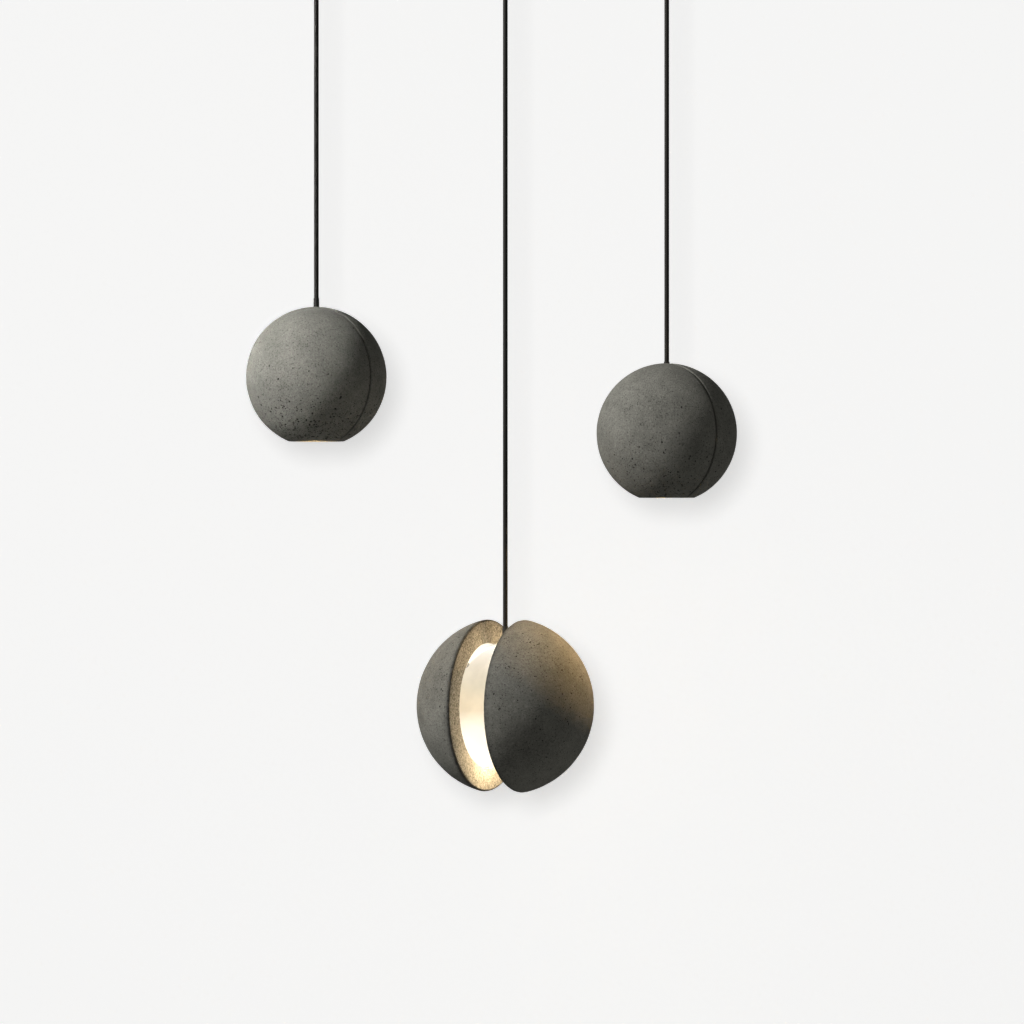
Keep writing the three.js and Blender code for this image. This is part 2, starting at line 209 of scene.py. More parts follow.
def join_rings(bm, a, b):
    """Faces between two closed rings of as many vertices; a ring of one vertex is a tip."""
    count = max(len(a), len(b))
    for i in range(count):
        k = (i + 1) % count
        if len(a) == 1:
            bm.faces.new((a[0], b[i], b[k]))
        elif len(b) == 1:
            bm.faces.new((a[i], b[0], a[k]))
        else:
            bm.faces.new((a[i], b[i], b[k], a[k]))


def make_camera():
    """A long lens that takes in VIEW_WIDTH at the pendants."""
    data = bpy.data.cameras.new("camera")
    data.sensor_width = SENSOR
    data.lens = SENSOR * CAMERA_DISTANCE / VIEW_WIDTH
    data.clip_end = 50
    camera = bpy.data.objects.new("camera", data)
    camera.location = (VIEW_CENTRE[0], -CAMERA_DISTANCE, VIEW_CENTRE[2])
    camera.rotation_euler = (math.radians(90), 0, 0)
    bpy.context.scene.collection.objects.link(camera)
    bpy.context.scene.camera = camera


def make_cord(name):
    """One straight cord from its grip down through the ferrule to the lamp holder."""
    low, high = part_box(f"{name}_cord")
    x, length = PIVOT[name].x, high.z - low.z
    path = [(x, 0, high.z - length * i / (CORD_POINTS - 1)) for i in range(CORD_POINTS)]
    radius = CORD_DIAMETER * MM / 2
    turns = [2 * math.pi * j / CORD_SIDES for j in range(CORD_SIDES)]
    circle = [(x + radius * math.cos(t), radius * math.sin(t)) for t in turns]
    bm = bmesh.new()
    rings = [[bm.verts.new((*around, z)) for around in circle] for _, _, z in path]
    for a, b in zip(rings, rings[1:]):
        join_rings(bm, a, b)
    for face in bm.faces:
        face.smooth = True
    bm.faces.new(rings[0])
    bm.faces.new(rings[-1][::-1])
    mesh = bpy.data.meshes.new(f"{name}_flex")
    bm.to_mesh(mesh)
    bm.free()
    cord = link(f"{name}_flex", mesh)
    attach(cord, f"{name}_drop")
    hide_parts(f"{name}_cord")
    return cord


make_camera()
CORDS = {n: make_cord(n) for n in NAMES}


# ---- materials

class Nodes:
    """A short way to write a material's node tree."""

    def __init__(self, name):
        self.material = bpy.data.materials.new(name)
        self.material.use_nodes = True
        self.tree = self.material.node_tree
        self.shader = self.tree.nodes["Principled BSDF"]

    def add(self, kind, **settings):
        node = self.tree.nodes.new(kind)
        for key, value in settings.items():
            setattr(node, key, value)
        return node

    def put(self, socket, value):
        """Links a socket to an output, or sets it to a number or a colour; None leaves it alone."""
        if hasattr(value, "is_linked"):
            self.tree.links.new(value, socket)
        elif isinstance(value, (int, float)):
            socket.default_value = value
        elif value is not None:
            socket.default_value = (*value, 1)

    def position(self):
        """Object coordinates; the meshes are in metres, in the row frame."""
        return self.add("ShaderNodeTexCoord").outputs["Object"]

    def noise(self, scale, detail, roughness, distortion=0.0):
        node = self.add("ShaderNodeTexNoise")
        node.inputs["Scale"].default_value = scale
        node.inputs["Detail"].default_value = detail
        node.inputs["Roughness"].default_value = roughness
        node.inputs["Distortion"].default_value = distortion
        self.put(node.inputs["Vector"], self.position())
        return node.outputs["Fac"]

    def pores(self, scale, rare, size):
        """1 inside scattered round spots, 0 outside; a share 'rare' of the cells has no spot."""
        cells = self.add("ShaderNodeTexVoronoi")
        cells.inputs["Scale"].default_value = scale
        self.put(cells.inputs["Vector"], self.position())
        split = self.add("ShaderNodeSeparateColor")
        self.put(split.inputs[0], cells.outputs["Color"])
        chance = self.maths("MAXIMUM", self.maths("SUBTRACT", split.outputs[0], rare), 0.0)
        radius = self.maths("MULTIPLY", chance, size / (1 - rare))
        depth = self.maths("SUBTRACT", radius, cells.outputs["Distance"])
        return self.ramp(self.maths("MULTIPLY", depth, 9.0), (0.0, 0.0), (1.0, 1.0))

    def ramp(self, value, *stops):
        """stops are (position, grey or rgb)."""
        node = self.add("ShaderNodeValToRGB")
        ramp = node.color_ramp
        while len(ramp.elements) < len(stops):
            ramp.elements.new(0.5)
        for element, (place, colour) in zip(ramp.elements, stops):
            element.position = place
            rgb = (colour,) * 3 if isinstance(colour, (int, float)) else colour
            element.color = (*rgb, 1)
        self.put(node.inputs["Fac"], value)
        return node.outputs["Color"]

    def mix(self, a, b, factor, blend="MIX"):
        node = self.add("ShaderNodeMix", data_type="RGBA", blend_type=blend)
        for index, value in ((0, factor), (6, a), (7, b)):
            self.put(node.inputs[index], value)
        return node.outputs[2]

    def maths(self, operation, a, b):
        node = self.add("ShaderNodeMath", operation=operation)
        self.put(node.inputs[0], a)
        self.put(node.inputs[1], b)
        return node.outputs[0]

    def bump(self, height, strength, distance, normal=None):
        node = self.add("ShaderNodeBump")
        node.inputs["Strength"].default_value = strength
        node.inputs["Distance"].default_value = distance
        self.put(node.inputs["Height"], height)
        self.put(node.inputs["Normal"], normal)
        return node.outputs["Normal"]

    def attribute(self, name):
        return self.add("ShaderNodeAttribute", attribute_name=name).outputs["Fac"]

    def set(self, **values):
        """Sets the shader's sockets by name, an underscore standing for a space."""
        for name, value in values.items():
            self.put(self.shader.inputs[name.replace("_", " ")], value)

    def finish(self, colour, roughness, normal):
        self.set(Base_Color=colour, Roughness=roughness, Normal=normal)
        return self.material


def concrete_material(name, light, dark):
    """Cast concrete: cloudy patches, cement grain, pin holes, and air holes where the mesh has them; the pin
    holes, the air holes and the large rims' rounded edges get painted shade.
    """
    n = Nodes(name)
    clouds = n.ramp(n.noise(14, 5, 0.62), (0.30, dark), (0.70, light))
    stains = n.ramp(n.noise(60, 6, 0.7, 0.4), (0.32, 0.80), (0.66, 1.10))
    colour = n.mix(clouds, stains, 0.8, "MULTIPLY")
    grain = n.ramp(n.noise(540, 4, 0.85), (0.30, 0.48), (0.70, 1.42))
    colour = n.mix(colour, grain, 0.8, "MULTIPLY")
    pore = n.pores(560, 0.30, 0.45)
    # Painted shade: near-black in the pin holes and where the mesh's 'hole' layer marks air holes and rim
    # edges.
    colour = n.mix(colour, PORE_SHADE, n.maths("MULTIPLY", pore, 0.55))
    colour = n.mix(colour, PORE_SHADE, n.attribute("hole"))
    rough = n.ramp(n.noise(30, 3, 0.5), (0.3, 0.82), (0.7, 0.95))
    fine = n.bump(n.noise(470, 5, 0.85), 0.9, 0.0013)
    uneven = n.bump(n.noise(120, 4, 0.6), 0.25, 0.0012, fine)
    pitted = n.bump(n.maths("SUBTRACT", 1.0, pore), 0.8, 0.0008, uneven)
    n.set(Specular_IOR_Level=0.25)
    return n.finish(colour, rough, pitted)


def sandy_material(name, light, dark):
    """The cut rims of the large half globes: the same concrete, its grain open."""
    n = Nodes(name)
    clouds = n.ramp(n.noise(40, 5, 0.65), (0.3, dark), (0.7, light))
    grit = n.ramp(n.noise(430, 4, 0.85), (0.36, 0.16), (0.62, 1.75))
    colour = n.mix(clouds, grit, 0.92, "MULTIPLY")
    # Painted shade in the open grain's pores.
    colour = n.mix(colour, PORE_SHADE, n.maths("MULTIPLY", n.pores(300, 0.5, 0.32), 0.7))
    coarse = n.bump(n.noise(420, 5, 0.8), 0.9, 0.0018)
    n.set(Specular_IOR_Level=0.2)
    return n.finish(colour, 0.95, coarse)


def painted_material(name, base, roughness, speckle=0.15):
    """Powder coat or enamel: an orange-peel surface with faint colour change."""
    n = Nodes(name)
    lighter = tuple(min(1.0, c * (1 + speckle)) for c in base)
    darker = tuple(c * (1 - speckle) for c in base)
    colour = n.ramp(n.noise(45, 4, 0.6), (0.35, darker), (0.65, lighter))
    rough = n.ramp(n.noise(70, 4, 0.6), (0.3, roughness * 0.85), (0.7, min(1.0, roughness * 1.15)))
    return n.finish(colour, rough, n.bump(n.noise(900, 2, 0.5), 0.08, 0.0004))


def metal_material(name, base, roughness, metallic=1.0):
    """Plated steel with fine streaks and a few dull patches."""
    n = Nodes(name)
    darker = tuple(c * 0.72 for c in base)
    colour = n.ramp(n.noise(60, 5, 0.65), (0.35, darker), (0.65, base))
    rough = n.ramp(n.noise(140, 5, 0.7), (0.3, roughness * 0.75), (0.7, roughness * 1.3))
    n.set(Metallic=metallic)
    return n.finish(colour, rough, n.bump(n.noise(1600, 3, 0.6), 0.12, 0.0003))


def cord_material(name):
    """Black flex under a tight braid: fine crossed ribs that catch a soft sheen."""
    n = Nodes(name)
    wave = n.add("ShaderNodeTexWave", wave_type="BANDS", bands_direction="DIAGONAL")
    wave.inputs["Scale"].default_value = 260
    wave.inputs["Distortion"].default_value = 0.3
    n.put(wave.inputs["Vector"], n.position())
    ribs = wave.outputs["Fac"]
    colour = n.ramp(ribs, (0.2, (0.005, 0.0045, 0.004)), (0.8, (0.014, 0.0125, 0.011)))
    n.set(Sheen_Weight=0.08, Sheen_Roughness=0.4, Specular_IOR_Level=0.3)
    return n.finish(colour, 0.6, n.bump(ribs, 0.35, 0.0004))


def ceramic_material(name):
    """Off-white ceramic under a clear glaze."""
    n = Nodes(name)
    colour = n.ramp(n.noise(50, 4, 0.6), (0.3, (0.74, 0.71, 0.65)), (0.7, (0.84, 0.82, 0.77)))
    n.set(Coat_Weight=0.5)
    return n.finish(colour, 0.3, n.bump(n.noise(300, 3, 0.5), 0.08, 0.0004))


def lamp_material(name, strength):
    """Frosted lamp glass, lit from inside."""
    n = Nodes(name)
    colour = n.ramp(n.noise(80, 3, 0.5), (0.3, (0.93, 0.86, 0.74)), (0.7, (1.0, 0.95, 0.86)))
    n.set(Emission_Color=(1.0, 0.80, 0.52), Emission_Strength=strength)
    return n.finish(colour, 0.4, n.bump(n.noise(2200, 2, 0.5), 0.1, 0.0002))


def painted_glow_enamel(name, middle_height):
    """White enamel with the lamp's light painted on as a glow: whitest above and below, cream across the
    middle.
    """
    n = Nodes(name)
    colour = n.ramp(n.noise(35, 4, 0.5), (0.3, (0.42, 0.40, 0.36)), (0.7, (0.48, 0.46, 0.42)))
    split = n.add("ShaderNodeSeparateXYZ")
    n.put(split.inputs[0], n.position())
    height = n.maths("SUBTRACT", split.outputs["Z"], middle_height)
    share = n.maths("ADD", n.maths("MULTIPLY", height, 1 / GLOW_SPAN), 0.5)
    glow = n.ramp(
        share,
        (0.00, (1.20, 1.16, 1.06)),
        (0.27, (1.10, 1.06, 0.98)),
        (0.44, (0.445, 0.41, 0.325)),
        (0.63, (0.465, 0.445, 0.355)),
        (0.80, (0.72, 0.68, 0.59)),
        (0.92, (1.00, 0.97, 0.91)),
        (1.00, (1.10, 1.06, 0.98)),
    )
    # Painted darker patches in the painted glow.
    blotch = n.ramp(n.noise(38, 3, 0.5), (0.35, 0.74), (0.6, 1.06))
    n.set(Emission_Color=n.mix(glow, blotch, 0.7, "MULTIPLY"), Emission_Strength=GLOW_STRENGTH)
    return n.finish(colour, 0.5, n.bump(n.noise(500, 3, 0.5), 0.06, 0.0004))


MATERIALS = {
    "concrete": concrete_material("concrete_grey", CONCRETE_LIGHT, CONCRETE_DARK),
    "rim": sandy_material("concrete_rim", (0.30, 0.29, 0.26), (0.20, 0.195, 0.175)),
    "black_paint": painted_material("black_powder_coat", (0.022, 0.022, 0.022), 0.45),
    "dark_metal": metal_material("blackened_steel", (0.045, 0.044, 0.043), 0.42, 0.7),
    "zinc_steel": metal_material("zinc_plate", (0.56, 0.57, 0.58), 0.32),
    "white_enamel": painted_material("white_enamel", (0.82, 0.80, 0.74), 0.4, 0.03),
    # Painted lamp glow, for the large bowls and the large strap.
    "glow": painted_glow_enamel("white_enamel_lit", CENTRE["large"].z),
    "black_cord": cord_material("black_flex"),
    "white_ceramic": ceramic_material("glazed_ceramic"),
    "aluminium": metal_material("aluminium_cap", (0.72, 0.72, 0.71), 0.28),
    "lamp_glass": lamp_material("frosted_glass_lit", 0.9),
    "lamp_glass_dim": lamp_material("frosted_glass_low", 1.2),
    "grey_plastic": painted_material("grey_plastic", (0.56, 0.56, 0.54), 0.5, 0.05),
}


# ---- mesh helpers

def to_mesh(bm, name):
    """A mesh with outward normals, all smooth."""
    mesh = bpy.data.meshes.new(name)
    bmesh.ops.recalc_face_normals(bm, faces=bm.faces)
    for face in bm.faces:
        face.smooth = True
    bm.to_mesh(mesh)
    bm.free()
    return mesh


def place(name, mesh, material, body, slot, replaced, matrix=None):
    """Adds a piece whose mesh is in millimetres about its own origin, which matrix puts in the row frame."""
    mesh.transform((matrix or Matrix.Identity(4)) @ Matrix.Scale(MM, 4))
    piece = link(name, mesh)
    for look in material if isinstance(material, tuple) else [material]:
        mesh.materials.append(look)
    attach(piece, body)
    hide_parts(*replaced)


def sharpen(mesh, degrees):
    """Keeps edges that turn more than this crisp."""
    bm = bmesh.new()
    bm.from_mesh(mesh)
    limit = math.radians(degrees)
    for edge in bm.edges:
        edge.smooth = len(edge.link_faces) == 2 and edge.calc_face_angle(0) < limit
    bm.to_mesh(mesh)
    bm.free()


def fillet_points(before, corner, after, radius):
    """Points of a rounded corner between two straight runs."""
    a, b = (before - corner).normalized(), (after - corner).normalized()
    longest = 0.49 * min((before - corner).length, (after - corner).length)
    reach = min(radius / math.tan(a.angle(b) / 2), longest)
    start, end = corner + a * reach, corner + b * reach
    points = []
    for i in range(FILLET_STEPS + 1):
        t = i / FILLET_STEPS
        points.append((1 - t) ** 2 * start + 2 * t * (1 - t) * corner + t * t * end)
    return points


def rounded_loop(corners, radius):
    """A closed outline of (radius, height) corners with every corner rounded a little."""
    points = [Vector(c) for c in corners]
    out = []
    for i, corner in enumerate(points):
        out += fillet_points(points[i - 1], corner, points[(i + 1) % len(points)], radius)
    return out


def lathe(outline, segments, closed_loop=True):
    """Turns an outline about Z. An open outline starts and ends on the axis."""
    bm = bmesh.new()
    turns = [2 * math.pi * j / segments for j in range(segments)]
    rings = []
    for radius, height in outline:
        if not closed_loop and radius < 1e-6:
            rings.append([bm.verts.new((0, 0, height))])
        else:
            rings.append([bm.verts.new((radius * math.cos(t), radius * math.sin(t), height)) for t in turns])
    after = rings[1:] + rings[:1] if closed_loop else rings[1:]
    for a, b in zip(rings, after):
        join_rings(bm, a, b)
    return bm


def arc(radius, start, end, step):
    """(radius, height) points along a circle about the origin; angles in radians above the equator."""
    count = max(2, round(abs(end - start) * radius / step))
    angles = [start + (end - start) * i / count for i in range(count + 1)]
    return [Vector((radius * math.cos(a), radius * math.sin(a))) for a in angles]


def straight(start, end, step):
    """Points along a line, both ends among them."""
    start, end = Vector(start), Vector(end)
    count = max(1, round((end - start).length / step))
    return [start.lerp(end, i / count) for i in range(count + 1)]


def joined_runs(runs, radii, closed_loop):
    """Joins runs of points, each meeting of two rounded by its radius."""
    trimmed = [list(run) for run in runs]
    fillets = []
    count = len(runs)
    for i in range(count if closed_loop else count - 1):
        a, b = trimmed[i], trimmed[(i + 1) % count]
        corner, radius = a[-1].copy(), radii[i]
        while len(a) > 2 and (a[-2] - corner).length < radius:
            a.pop(-2)
        while len(b) > 2 and (b[1] - corner).length < radius:
            b.pop(1)
        fillets.append(fillet_points(a[-2], corner, b[1], radius))
    out = []
    for i in range(count):
        first = 1 if (closed_loop or i > 0) else 0
        last = -1 if (closed_loop or i < count - 1) else len(trimmed[i])
        out += trimmed[i][first:last]
        if i < len(fillets):
            out += fillets[i]
    return out


# ---- air holes in the concrete

def chance_of_hole(direction, holes):
    """How likely an air hole is at a direction, from a row of AIR_HOLES."""
    if direction.z < holes["lowest"]:
        return 0.0
    past = max(0.0, holes["way"] * direction.z - holes["start"])
    return holes["base"] + holes["gain"] * past ** holes["power"]


def scatter(rng, holes):
    """Air holes as (unit direction, radius in mm), most of them near the least radius."""
    least, greatest = holes["radii"]
    out = []
    while len(out) < holes["count"]:
        direction = Vector([rng.gauss(0, 1) for _ in range(3)]).normalized()
        if rng.random() > chance_of_hole(direction, holes):
            continue
        share = rng.random() ** 3.0
        out.append((direction, least + (greatest - least) * share))
    return out


def refine(bm, tree, sizes):
    """Splits the edges near each hole until they are short beside it."""
    for fraction in (1.4, 0.8, 0.45):
        chosen = []
        for edge in bm.edges:
            a, b = edge.verts
            middle = (a.co + b.co) / 2
            _, index, away = tree.find(middle)
            length = (a.co - b.co).length
            is_near = away < sizes[index] * 1.25 + 0.6 * length
            if is_near and length > max(0.28, fraction * sizes[index]):
                chosen.append(edge)
        if chosen:
            bmesh.ops.subdivide_edges(bm, edges=chosen, cuts=1, use_grid_fill=True)
            bmesh.ops.triangulate(bm, faces=[f for f in bm.faces if len(f.verts) > 4])


def carve(bm, holes, radius):
    """Sinks the air holes into the outer face, which has this radius, and marks them in the layer 'hole',
    where the concrete paints shade.
    """
    tree = KDTree(len(holes))
    for i, (direction, _) in enumerate(holes):
        tree.insert(direction * radius, i)
    tree.balance()
    sizes = [size for _, size in holes]
    refine(bm, tree, sizes)
    layer = bm.verts.layers.float.new("hole")
    for vert in bm.verts:
        if abs(vert.co.length - radius) > 2.5:
            continue
        _, index, away = tree.find(vert.co.normalized() * radius)
        ragged = 1 + 0.35 * noise.noise(vert.co * 0.9) + 0.15 * noise.noise(vert.co * 2.7)
        share = away / (sizes[index] * ragged)
        if share >= 1:
            continue
        depth = 1 - share ** 2.4
        vert.co -= vert.co.normalized() * depth * min(1.5, 0.95 * sizes[index])
        vert[layer] = min(1.0, 1.5 * depth)


def weather(bm, amount, seed):
    """The slight unevenness of a hand-finished casting."""
    for vert in bm.verts:
        shift = noise.noise(vert.co * 0.055 + Vector((seed, 0, 0))) + 0.5 * noise.noise(vert.co * 0.16)
        vert.co += vert.co.normalized() * amount * (shift - 1.3)


# ---- small globes

def small_profile():
    """Closed outline of a small shell: outside, flat bottom, mouth, inside, nut recess and nipple hole."""
    outer_top = math.acos(NIPPLE_HOLE / SMALL_RADIUS)
    outer_low = math.asin(SMALL_FLAT / SMALL_RADIUS)
    inner = SMALL_RADIUS - SMALL_WALL
    inner_low = -math.acos(SMALL_MOUTH / inner)
    inner_top = math.acos(NUT_RECESS[0] / inner)
    mouth = (SMALL_MOUTH, SMALL_FLAT)
    bore = (NIPPLE_HOLE, NUT_RECESS[1])
    outside = arc(SMALL_RADIUS, outer_top, outer_low, OUTER_STEP)
    inside = arc(inner, inner_low, inner_top, INNER_STEP)
    runs = [
        outside,
        straight(outside[-1], mouth, 1.6),
        straight(mouth, inside[0], 2.0),
        inside,
        straight(inside[-1], NUT_RECESS, INNER_STEP),
        straight(NUT_RECESS, bore, 2.0),
        straight(bore, outside[0], INNER_STEP),
    ]
    return joined_runs(runs, [1.3, 1.0, 1.2, 0.5, 0.5, 0.5, 0.9], True)


def outward_normals(outline):
    """Unit normals of a closed outline, away from the solid."""
    normals = []
    for i, before in enumerate(outline[-1:] + outline[:-1]):
        along = outline[(i + 1) % len(outline)] - before
        normals.append(Vector((along.y, -along.x)).normalized())
    area = sum(outline[i - 1].x * p.y - p.x * outline[i - 1].y for i, p in enumerate(outline))
    return [-v for v in normals] if area < 0 else normals


def half_circle(point, normal, edge, near):
    """Where one outline point goes, from seam to seam; near says how far the first rows are from the seam."""
    ends = []
    for side in (1, -1):
        rows = []
        for away in near:
            drop = edge - math.sqrt(max(0.0, edge * edge - max(0.0, edge - away) ** 2))
            moved = point - normal * drop
            radius = max(moved.x, away + 0.01)
            rows.append(Vector((away, side * math.sqrt(radius * radius - away * away), moved.y)))
        ends.append(rows)
    widest = math.acos(near[-1] / point.x)
    turns = [widest * (1 - 2 * j / SEAM_ROWS) for j in range(1, SEAM_ROWS)]
    middle = [Vector((point.x * math.cos(t), point.x * math.sin(t), point.y)) for t in turns]
    return ends[0] + middle + ends[1][::-1]


def half_sweep(outline, give, half_gap):
    """Sweeps a closed outline half a turn about Z, its seam edges rounded by give, and caps both ends."""
    near = [max(give) * step for step in SEAM_STEPS]
    shift = Vector((half_gap, 0, 0))
    bm = bmesh.new()
    columns = []
    for point, normal, edge in zip(outline, outward_normals(outline), give):
        columns.append([bm.verts.new(v + shift) for v in half_circle(point, normal, edge, near)])
    for a, b in zip(columns[-1:] + columns[:-1], columns):
        for j in range(len(a) - 1):
            bm.faces.new((a[j], b[j], b[j + 1], a[j + 1]))
    for end in (0, -1):
        loop = [column[end] for column in columns]
        for tri in tessellate_polygon([[v.co for v in loop]]):
            bm.faces.new([loop[k] for k in tri])
    return bm


def seam_give(outline, edge):
    """How much each outline point is rounded at the seam: well on the outside, nearly crisp elsewhere."""
    out = []
    for p in outline:
        outside = p.length > SMALL_RADIUS - 0.4 and p.y > SMALL_FLAT + 2.5
        out.append(edge if outside else CRISP_EDGE)
    for _ in range(3):
        out = [(out[i - 1] + out[i] + out[(i + 1) % len(out)]) / 3 for i in range(len(out))]
    return out


def on_small_half(direction, half):
    """True if a hole at this direction is on this half, clear of its seam, flat bottom and nipple."""
    return direction.x * half > 0.035 and SMALL_FLAT / SMALL_RADIUS + 0.02 < direction.z < 0.985


def half_turn(half):
    """A half is built facing +X; the other one is turned round."""
    return Matrix.Rotation(0 if half > 0 else math.pi, 4, "Z")


def globe_place(name):
    """From a globe's own frame to the row frame."""
    return Matrix.Translation(CENTRE[name]) @ Matrix.Rotation(TURN[name], 4, "Z")


def add_small_globe(name, holes, seed):
    """Two cast halves that meet at an upright seam."""
    outline = small_profile()
    for letter, half, side in (("a", 1, "far"), ("b", -1, "near")):
        back = half_turn(half)
        bm = half_sweep(outline, seam_give(outline, SEAM_EDGE[side]), SMALL_HALF_GAP)
        carve(bm, [(back.inverted() @ d, size) for d, size in holes if on_small_half(d, half)], SMALL_RADIUS)
        weather(bm, WEATHER["small"], seed + half)
        mesh = to_mesh(bm, f"{name}_concrete_{letter}")
        place(f"{name}_concrete_{letter}", mesh, MATERIALS["concrete"], f"{name}_globe", "concrete",
              [f"{name}_shell_{letter}"], globe_place(name) @ back)


# ---- large globe

def large_profile():
    """Open outline of a large half shell about its pole axis: out from the pole, over the rim and back."""
    inner = LARGE_RADIUS - LARGE_WALL
    outer_start = math.asin(LARGE_HALF_GAP / LARGE_RADIUS)
    inner_start = math.asin(LARGE_HALF_GAP / inner)
    outside = arc(LARGE_RADIUS, math.pi / 2, outer_start, 1.9)
    inside = arc(inner, inner_start, math.pi / 2, 5.0)
    rim = straight(outside[-1], inside[0], 1.6)
    outline = joined_runs([outside, rim, inside], [LARGE_EDGE, 0.8], False)
    outline[0].x = outline[-1].x = 0.0
    return outline


def add_large_globe(holes, seed):
    """Two cast half shells with a gap between them, their rims open-grained."""
    outline = large_profile()
    turn = Matrix.Rotation(TURN["large"], 4, "Z")
    for letter, half in (("a", 1), ("b", -1)):
        back = half_turn(half)
        bm = lathe(outline, 200, closed_loop=False)
        bm.transform(LAY_DOWN)
        local = [(back.inverted() @ d, size) for d, size in holes if d.x * half > 0.27]
        carve(bm, local, LARGE_RADIUS)
        weather(bm, WEATHER["large"], seed + half)
        roughen_and_shade_rim(bm, seed + 3 * half)
        mesh = to_mesh(bm, f"large_concrete_{letter}")
        looks = (MATERIALS["concrete"], MATERIALS["rim"])
        place(f"large_concrete_{letter}", mesh, looks, "large_globe", "concrete",
              [f"large_shell_{letter}"], globe_place("large") @ back)
        mark_rim(mesh, turn @ back)


def roughen_and_shade_rim(bm, seed):
    """Open grain on the flat rim, and painted shade on the rounded edge round it."""
    layer = bm.verts.layers.float["hole"]
    shade_from, shade_to = LARGE_RADIUS - 9, LARGE_HALF_GAP + 4.5
    for vert in bm.verts:
        radial = math.hypot(vert.co.y, vert.co.z)
        # Painted shade on the rounded edge, put in the 'hole' layer that the concrete paints near-black.
        if radial > shade_from and vert.co.x < shade_to:
            along = min(1.0, (radial - shade_from) / 3, (shade_to - vert.co.x) / 2.5)
            vert[layer] = max(vert[layer], EDGE_PAINTED_SHADE * along * (0.8 + 0.5 * noise.noise(vert.co * 0.35)))
        if vert.co.x > LARGE_HALF_GAP + 0.6:
            continue
        grain = noise.noise(vert.co * 0.45 + Vector((0, seed, 0))) + 0.6 * noise.noise(vert.co * 1.3)
        vert.co.x += 0.22 * max(-0.2, grain + 0.25)


def mark_rim(mesh, to_row):
    """Gives the rim face and the hollow the open-grained material."""
    axis = (to_row.to_3x3() @ Vector((1, 0, 0))).normalized()
    for face in mesh.polygons:
        offset = face.center - CENTRE["large"]
        along = offset.dot(axis)
        radial = (offset - axis * along).length / MM
        on_rim = along / MM < LARGE_HALF_GAP + 1.2 and radial < LARGE_RADIUS - 5.5
        if on_rim or offset.length / MM < LARGE_RADIUS - 10:
            face.material_index = 1


def add_reflectors():
    """Spun white bowls with a rolled lip, one in each large half shell; the lamp's light on them is painted
    as a glow.
    """
    outer = LARGE_RADIUS - LARGE_WALL - 0.35
    inner = outer - 1.4
    lip = LARGE_HALF_GAP + 0.8
    outside = arc(outer, math.asin(lip / outer), math.pi / 2, 3.0)
    inside = arc(inner, math.pi / 2, math.asin(lip / inner), 3.0)
    runs = [inside, straight(inside[-1], outside[0], 0.5), outside]
    outline = joined_runs(runs, [0.5, 0.5], False)
    outline[0].x = outline[-1].x = 0.0
    for letter, half in (("a", 1), ("b", -1)):
        bm = lathe(outline, 128, closed_loop=False)
        bm.transform(LAY_DOWN)
        mesh = to_mesh(bm, f"large_bowl_{letter}")
        place(f"large_bowl_{letter}", mesh, MATERIALS["glow"], "large_globe", "white_enamel",
              [f"large_reflector_{letter}"], globe_place("large") @ half_turn(half))


rng = random.Random(HOLE_SEED)
for name in ("left", "right"):
    add_small_globe(name, scatter(rng, AIR_HOLES[name]), WEATHER_SEED[name])
add_large_globe(scatter(rng, AIR_HOLES["large"]), WEATHER_SEED["large"])
add_reflectors()


# ---- turned hardware

def hexagon(angle, radius):
    """Distance to the side of a hexagon with this corner radius."""
    turn = (angle + math.pi / 6) % (math.pi / 3) - math.pi / 6
    return radius * math.cos(math.pi / 6) / math.cos(math.pi / 6 - abs(turn))


def shape_radius(bm, pick, change):
    """Moves the picked vertices in or out from the Z axis."""
    for vert in bm.verts:
        radius = math.hypot(vert.co.x, vert.co.y)
        if radius > 1e-6 and pick(radius, vert.co.z):
            new = change(math.atan2(vert.co.y, vert.co.x), radius, vert.co.z)
            vert.co.x *= new / radius
            vert.co.y *= new / radius


def turned_piece(name, bm, look, body, slot, replaced, matrix, crisp=35):
    """A piece whose edges that turn more than this many degrees stay crisp."""
    mesh = to_mesh(bm, name)
    sharpen(mesh, crisp)
    place(name, mesh, MATERIALS[look], body, slot, replaced, matrix)


def hex_nut(low, high):
    """A nut with its corners turned down at both faces."""
    corner, bore = NUT["radius"], NUT["bore"]
    flat = corner * math.cos(math.pi / 6)
    outline = [
        (bore + 0.4, low), (flat, low), (corner, low + 0.65), (corner, high - 0.65), (flat, high),
        (bore + 0.4, high), (bore, high - 0.4), (bore, low + 0.4),
    ]
    bm = lathe([Vector(p) for p in outline], 96)
    shape_radius(bm, lambda r, z: r > flat - 0.1, lambda a, r, z: min(r, hexagon(a, corner)))
    return bm


def threaded(outer, depth, pitch, low, high):
    """(radius, height) points of a round-crested thread, from low to high."""
    count = max(2, round((high - low) / pitch * 6))
    points = []
    for i in range(count + 1):
        crest = 0.5 + 0.5 * math.cos(2 * math.pi * i * (high - low) / pitch / count)
        points.append(Vector((outer - depth * crest, low + (high - low) * i / count)))
    return points


def cut_band(bm, band, wave):
    """Cuts a wave round the part of a turned piece that is past a radius, between two heights."""
    shape_radius(
        bm,
        lambda r, z: r > band["radius"] and band["low"] < z < band["high"],
        lambda a, r, z: r - band["depth"] * wave(band["count"] * a),
    )


def add_grip(name):
    """The cord grip under the ceiling bar: a tapered cone under a knurled flange."""
    bm = lathe(rounded_loop(GRIP_OUTLINE, 0.5), 96)
    cut_band(bm, GRIP_KNURL, lambda a: 0.5 + 0.5 * math.cos(a))
    cut_band(bm, GRIP_FLUTES, lambda a: max(0.0, math.cos(a)) ** 3)
    where = Matrix.Translation((PIVOT[name].x, 0, 0))
    turned_piece(f"{name}_grip", bm, "dark_metal", "canopy", "dark_metal", [f"{name}_cord_grip"], where)


